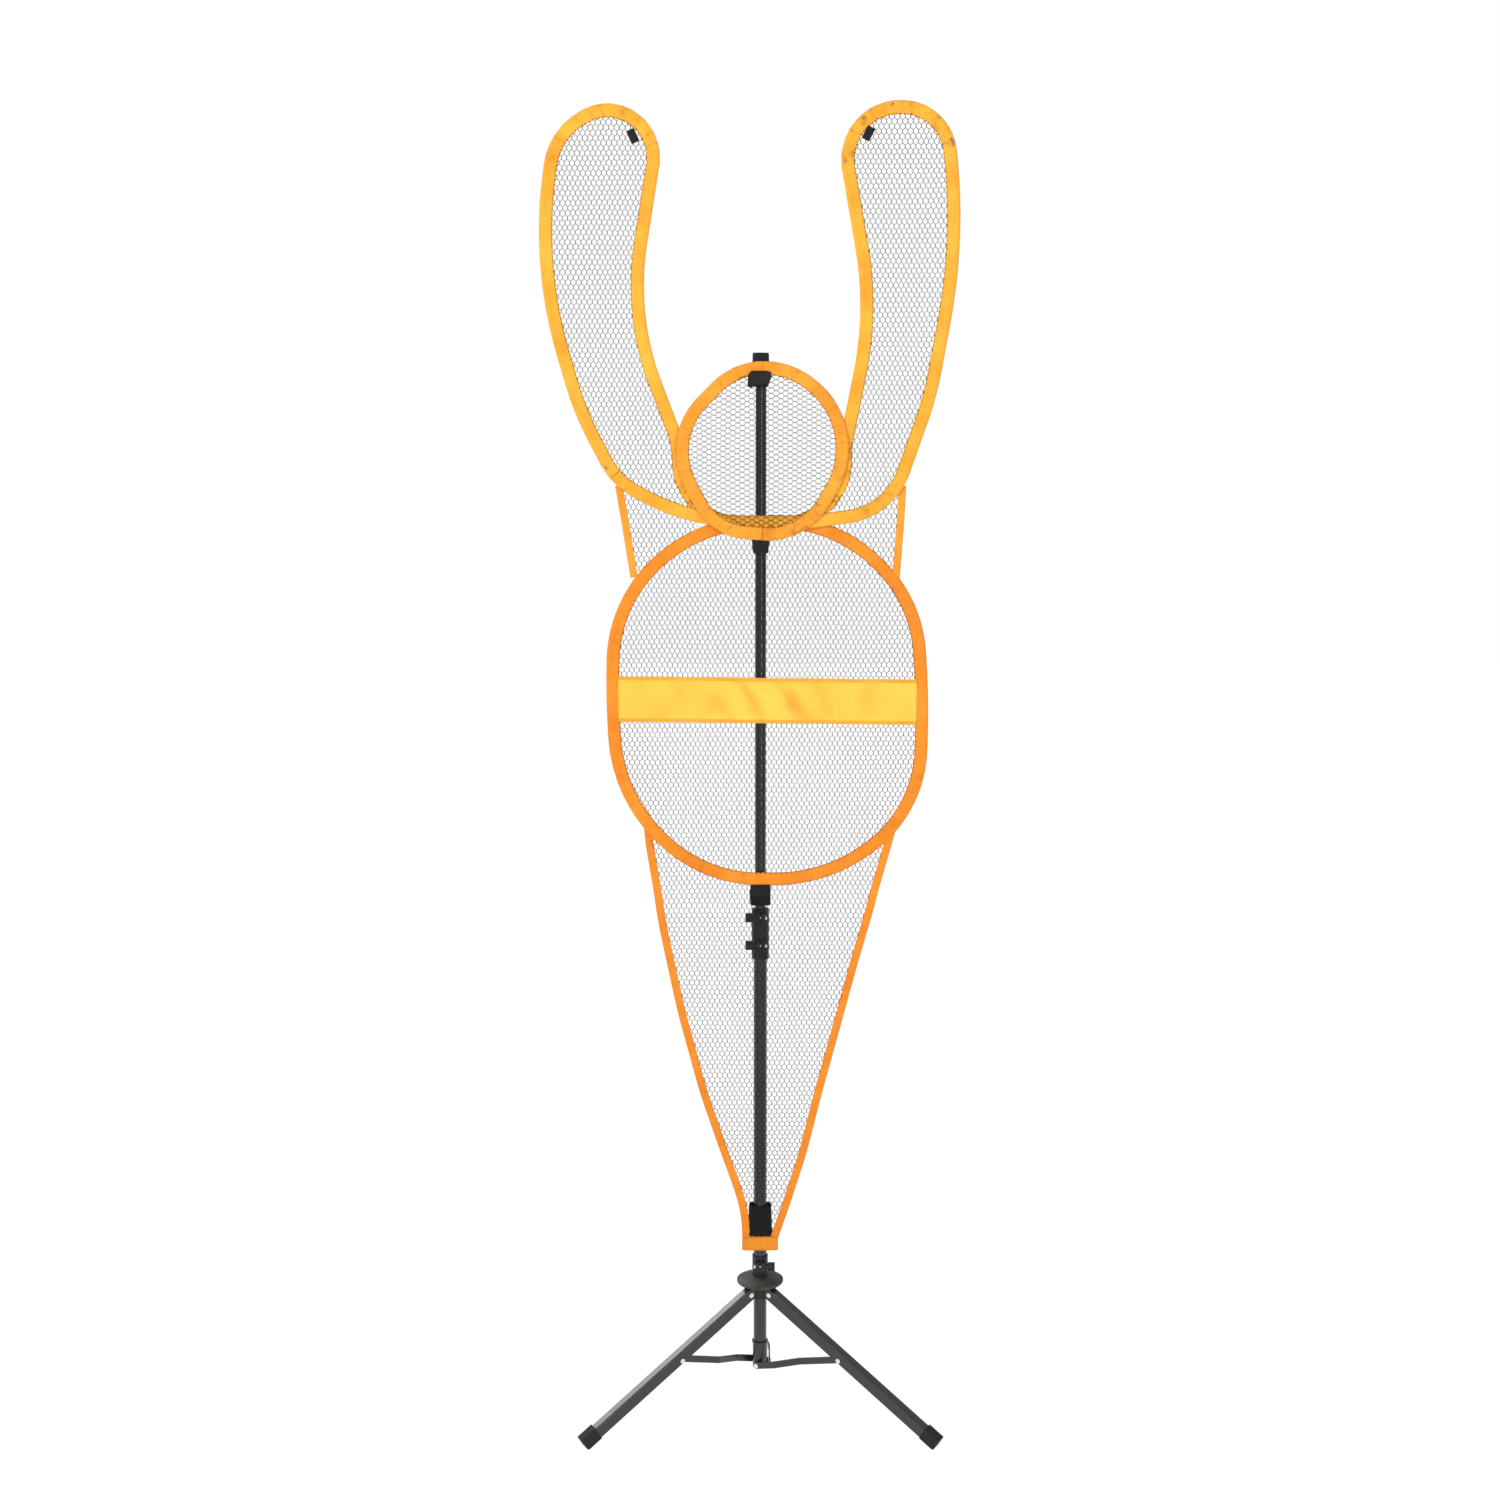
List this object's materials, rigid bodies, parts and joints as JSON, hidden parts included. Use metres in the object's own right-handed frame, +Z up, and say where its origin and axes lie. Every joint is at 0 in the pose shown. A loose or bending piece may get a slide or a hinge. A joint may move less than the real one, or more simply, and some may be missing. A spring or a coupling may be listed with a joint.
{
  "type": "ball sports training dummy",
  "caption": "Free-standing training defender of net panels on sprung hoops with raised arms, on a telescoping pole with a folding tripod.",
  "frame": {"origin": "on the floor, at the middle of the footprint; the pole stands at x 17.7 mm, y -80.3 mm", "axes": "+Z up the pole; -Y is the front, the side of the figure that carries the clamp ears; +X is to the right seen from the front"},
  "size_m": [0.6554, 0.514, 2.1289],
  "materials": {
    "tube": "black powder coated steel",
    "leg": "black powder coated pressed steel",
    "plastic": "black moulded nylon",
    "rubber": "black rubber",
    "zinc": "bright zinc",
    "wire": "spring steel",
    "binding": "orange polyester binding",
    "net": "black knitted mesh",
    "band": "yellow satin",
    "webbing": "black woven polyester"
  },
  "bodies": {
    "pole": {"lower_tube": "tube", "tube_end_plug": "plastic", "spreader_collar": "tube", "pole_clamp": "plastic", "clamp_bushing": "plastic", "pole_clamp_bolts": "zinc"},
    "hub": {"hub_body": "plastic", "hub_cover": "plastic", "hub_clamp_bolt": "zinc", "leg_pivot_rivet_front_right": "zinc", "leg_pivot_rivet_front_left": "zinc", "leg_pivot_rivet_rear": "zinc"},
    "hub_knob": {"hub_wing_knob": "plastic"},
    "lower_knob": {"lower_clamp_knob": "plastic"},
    "upper_knob": {"upper_clamp_knob": "plastic"},
    "leg_front_right": {"leg_front_right": "leg", "foot_front_right": "rubber", "strut_leg_rivet_front_right": "zinc"},
    "strut_front_right": {"strut_front_right": "leg", "strut_collar_rivet_front_right": "zinc"},
    "leg_front_left": {"leg_front_left": "leg", "foot_front_left": "rubber", "strut_leg_rivet_front_left": "zinc"},
    "strut_front_left": {"strut_front_left": "leg", "strut_collar_rivet_front_left": "zinc"},
    "leg_rear": {"leg_rear": "leg", "foot_rear": "rubber", "strut_leg_rivet_rear": "zinc"},
    "strut_rear": {"strut_rear": "leg", "strut_collar_rivet_rear": "zinc"},
    "hem": {"hem_sleeve": "binding", "hem_pocket": "webbing"},
    "figure": {"arm_net_left": "net", "arm_net_right": "net", "arms_binding": "binding", "arms_hoop_wire": "wire", "chest_band": "band", "hand_tab_left": "webbing", "hand_tab_right": "webbing", "head_binding": "binding", "head_hoop_wire": "wire", "head_net": "net", "head_patch": "webbing", "head_pocket": "webbing", "neck_strap": "webbing", "shoulder_edge_left": "binding", "shoulder_edge_right": "binding", "shoulder_net_left": "net", "shoulder_net_right": "net", "skirt_edge_left": "binding", "skirt_edge_right": "binding", "skirt_net": "net", "torso_binding": "binding", "torso_hoop_wire": "wire", "torso_net": "net", "upper_tube": "tube", "upper_tube_cap": "plastic", "upper_tube_guide": "plastic", "waist_snap": "zinc", "waist_strap": "webbing"}
  },
  "joints": [
    {"name": "hub_slide", "type": "slide", "parent": "pole", "child": "hub", "axis": [0, 0, 1], "range_m": [0, 0.179]},
    {"name": "leg_hinge_front_right", "type": "hinge", "parent": "hub", "child": "leg_front_right", "pos_m": [0.0368, -0.09134, 0.193], "axis": [0.5, 0.866, 0], "range_deg": [0, 49]},
    {"name": "strut_hinge_front_right", "type": "hinge", "parent": "leg_front_right", "child": "strut_front_right", "pos_m": [0.15037, -0.15691, 0.10837], "axis": [-0.5, -0.866, 0], "range_deg": [0, 108.18]},
    {"name": "leg_hinge_front_left", "type": "hinge", "parent": "hub", "child": "leg_front_left", "pos_m": [-0.0013, -0.09134, 0.193], "axis": [0.5, -0.866, 0], "range_deg": [0, 49]},
    {"name": "strut_hinge_front_left", "type": "hinge", "parent": "leg_front_left", "child": "strut_front_left", "pos_m": [-0.11488, -0.15691, 0.10837], "axis": [-0.5, 0.866, 0], "range_deg": [0, 108.18]},
    {"name": "leg_hinge_rear", "type": "hinge", "parent": "hub", "child": "leg_rear", "pos_m": [0.01775, -0.05834, 0.193], "axis": [-1, 0, 0], "range_deg": [0, 49]},
    {"name": "strut_hinge_rear", "type": "hinge", "parent": "leg_rear", "child": "strut_rear", "pos_m": [0.01775, 0.0728, 0.10837], "axis": [1, 0, 0], "range_deg": [0, 108.18]},
    {"name": "pole_extend", "type": "slide", "parent": "pole", "child": "figure", "axis": [0, 0, 1], "range_m": [0, 0.23]},
    {"name": "hem_slide", "type": "slide", "parent": "figure", "child": "hem", "axis": [0, 0, 1], "range_m": [0, 0.179], "deforming": ["skirt_net", "skirt_edge_left", "skirt_edge_right"]},
    {"name": "lower_knob_turn", "type": "hinge", "parent": "pole", "child": "lower_knob", "pos_m": [0.01775, -0.09684, 0.7949], "axis": [1, 0, 0], "range_deg": [0, 360]},
    {"name": "upper_knob_turn", "type": "hinge", "parent": "pole", "child": "upper_knob", "pos_m": [0.01775, -0.09684, 0.84138], "axis": [1, 0, 0], "range_deg": [0, 360]},
    {"name": "hub_knob_turn", "type": "hinge", "parent": "hub", "child": "hub_knob", "pos_m": [0.01775, -0.09684, 0.243], "axis": [1, 0, 0], "range_deg": [0, 360]}
  ],
  "couplings": [
    {"joint": "leg_hinge_front_right", "follows": "hub_slide", "rad_per_m": 4.7777},
    {"joint": "strut_hinge_front_right", "follows": "hub_slide", "rad_per_m": 10.548},
    {"joint": "leg_hinge_front_left", "follows": "hub_slide", "rad_per_m": 4.7777},
    {"joint": "strut_hinge_front_left", "follows": "hub_slide", "rad_per_m": 10.548},
    {"joint": "leg_hinge_rear", "follows": "hub_slide", "rad_per_m": 4.7777},
    {"joint": "strut_hinge_rear", "follows": "hub_slide", "rad_per_m": 10.548},
    {"joint": "hem_slide", "follows": "hub_slide", "ratio": 1}
  ]
}
